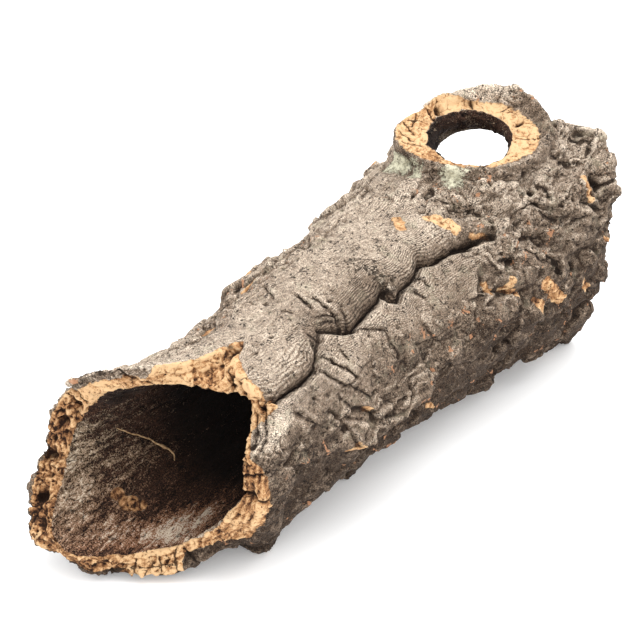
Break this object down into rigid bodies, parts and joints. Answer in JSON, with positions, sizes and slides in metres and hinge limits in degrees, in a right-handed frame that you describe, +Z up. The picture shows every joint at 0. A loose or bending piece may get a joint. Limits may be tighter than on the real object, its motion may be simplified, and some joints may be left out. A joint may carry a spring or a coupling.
{
  "type": "cork bark tube",
  "caption": "Hollow length of natural cork oak bark with broken ends and a sawn branch stub opening through its top, lying on its side.",
  "frame": {"origin": "middle of the bounding box seen from above, on the surface the tube lies on", "axes": "+Y along the tube from its wide mouth to the end with the branch stub, +Z up, +X to the right when looking along +Y"},
  "size_m": [0.231, 0.4861, 0.2217],
  "materials": {
    "cork_bark": "rough grey-brown bark outside, tan cork where it is broken or sawn, dark brown inside"
  },
  "bodies": {
    "root": {"cork_bark_tube": "cork_bark"}
  },
  "joints": []
}
